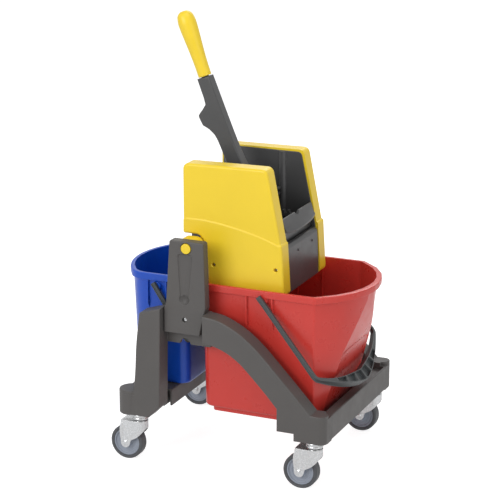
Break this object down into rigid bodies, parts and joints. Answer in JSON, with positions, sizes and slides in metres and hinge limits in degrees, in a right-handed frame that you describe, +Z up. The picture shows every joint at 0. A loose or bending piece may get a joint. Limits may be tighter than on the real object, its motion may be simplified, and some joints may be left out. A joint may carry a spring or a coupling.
{
  "type": "mop bucket trolley with press wringer",
  "caption": "Wheeled twin-bucket mopping trolley: red front and blue rear buckets on a grey arched frame, with a tilting yellow lever press wringer over the front bucket.",
  "frame": {"origin": "middle of the footprint at the floor", "axes": "+X to the front (the red bucket's end), +Y to the left side, +Z up; Y = 0 is the middle plane"},
  "size_m": [0.5869, 0.43, 1.0014],
  "materials": {
    "frame_grey": "fine moulded grain",
    "bucket_red": "smooth satin moulding",
    "bucket_blue": "smooth satin moulding",
    "press_yellow": "smooth satin moulding",
    "press_grey": "satin moulding",
    "bail_grey": "satin moulding",
    "zinc": "bright zinc plate on pressed steel",
    "tyre_grey": "smooth grey rubber",
    "wheel_grey": "satin moulding"
  },
  "bodies": {
    "chassis": {"side_frame_right": "frame_grey", "post_right": "frame_grey", "post_bolt_right": "zinc", "side_frame_left": "frame_grey", "post_left": "frame_grey", "post_bolt_left": "zinc", "front_crossbar": "frame_grey", "rear_crossbar": "frame_grey", "caster_cup_front_right": "zinc", "caster_cup_front_left": "zinc", "caster_cup_rear_right": "zinc", "caster_cup_rear_left": "zinc"},
    "caster_front_right": {"caster_fork_front_right": "zinc", "caster_axle_front_right": "zinc"},
    "wheel_front_right": {"caster_wheel_front_right": "wheel_grey", "caster_tyre_front_right": "tyre_grey"},
    "caster_front_left": {"caster_fork_front_left": "zinc", "caster_axle_front_left": "zinc"},
    "wheel_front_left": {"caster_wheel_front_left": "wheel_grey", "caster_tyre_front_left": "tyre_grey"},
    "caster_rear_right": {"caster_fork_rear_right": "zinc", "caster_axle_rear_right": "zinc"},
    "wheel_rear_right": {"caster_wheel_rear_right": "wheel_grey", "caster_tyre_rear_right": "tyre_grey"},
    "caster_rear_left": {"caster_fork_rear_left": "zinc", "caster_axle_rear_left": "zinc"},
    "wheel_rear_left": {"caster_wheel_rear_left": "wheel_grey", "caster_tyre_rear_left": "tyre_grey"},
    "bucket_red": {"bucket_red": "bucket_red"},
    "bail_red": {"bail_red": "bail_grey"},
    "bucket_blue": {"bucket_blue": "bucket_blue"},
    "bail_blue": {"bail_blue": "bail_grey"},
    "press": {"press_shell_right": "press_yellow", "press_liner_right": "press_grey", "trunnion_right": "press_yellow", "press_screw_rear_right": "zinc", "press_screw_front_right": "zinc", "press_shell_left": "press_yellow", "press_liner_left": "press_grey", "trunnion_left": "press_yellow", "press_screw_rear_left": "zinc", "press_screw_front_left": "zinc", "press_front_wall": "press_grey", "press_rear_wall": "press_grey", "press_back_plate": "press_grey", "press_drain_grid": "press_grey"},
    "lever": {"lever_arm": "press_grey", "lever_grip": "press_yellow", "lever_shaft": "zinc", "lever_gear_right": "press_grey", "lever_gear_left": "press_grey"},
    "jaw": {"press_jaw": "press_grey", "jaw_rack_right": "press_grey", "jaw_rack_left": "press_grey"}
  },
  "joints": [
    {"name": "swivel_front_right", "type": "hinge", "parent": "chassis", "child": "caster_front_right", "pos_m": [0.2231, -0.187, 0.1], "axis": [0, 0, 1], "continuous": true},
    {"name": "roll_front_right", "type": "hinge", "parent": "caster_front_right", "child": "wheel_front_right", "pos_m": [0.1931, -0.187, 0.04], "axis": [0, 1, 0], "continuous": true},
    {"name": "swivel_front_left", "type": "hinge", "parent": "chassis", "child": "caster_front_left", "pos_m": [0.2231, 0.187, 0.1], "axis": [0, 0, 1], "continuous": true},
    {"name": "roll_front_left", "type": "hinge", "parent": "caster_front_left", "child": "wheel_front_left", "pos_m": [0.1931, 0.187, 0.04], "axis": [0, 1, 0], "continuous": true},
    {"name": "swivel_rear_right", "type": "hinge", "parent": "chassis", "child": "caster_rear_right", "pos_m": [-0.2029, -0.187, 0.1], "axis": [0, 0, 1], "continuous": true},
    {"name": "roll_rear_right", "type": "hinge", "parent": "caster_rear_right", "child": "wheel_rear_right", "pos_m": [-0.2329, -0.187, 0.04], "axis": [0, 1, 0], "continuous": true},
    {"name": "swivel_rear_left", "type": "hinge", "parent": "chassis", "child": "caster_rear_left", "pos_m": [-0.2029, 0.187, 0.1], "axis": [0, 0, 1], "continuous": true},
    {"name": "roll_rear_left", "type": "hinge", "parent": "caster_rear_left", "child": "wheel_rear_left", "pos_m": [-0.2329, 0.187, 0.04], "axis": [0, 1, 0], "continuous": true},
    {"name": "red_bucket_lift", "type": "slide", "parent": "chassis", "child": "bucket_red", "axis": [0, 0, 1], "range_m": [0, 0.04]},
    {"name": "red_bail_swing", "type": "hinge", "parent": "bucket_red", "child": "bail_red", "pos_m": [0.0839, 0, 0.4053], "axis": [0, -1, 0], "range_deg": [0, 105]},
    {"name": "blue_bucket_lift", "type": "slide", "parent": "chassis", "child": "bucket_blue", "axis": [0, 0, 1], "range_m": [0, 0.05]},
    {"name": "blue_bail_swing", "type": "hinge", "parent": "bucket_blue", "child": "bail_blue", "pos_m": [-0.1849, 0, 0.398], "axis": [0, -1, 0], "range_deg": [0, 8]},
    {"name": "press_tilt", "type": "hinge", "parent": "chassis", "child": "press", "pos_m": [-0.0809, 0, 0.514], "axis": [0, -1, 0], "range_deg": [0, 60]},
    {"name": "lever_swing", "type": "hinge", "parent": "press", "child": "lever", "pos_m": [-0.0149, 0, 0.595], "axis": [0, 1, 0], "range_deg": [0, 70]},
    {"name": "jaw_slide", "type": "slide", "parent": "press", "child": "jaw", "axis": [-1, 0, 0], "range_m": [0, 0.054]}
  ],
  "couplings": [
    {"joint": "jaw_slide", "follows": "lever_swing", "m_per_rad": 0.044}
  ]
}
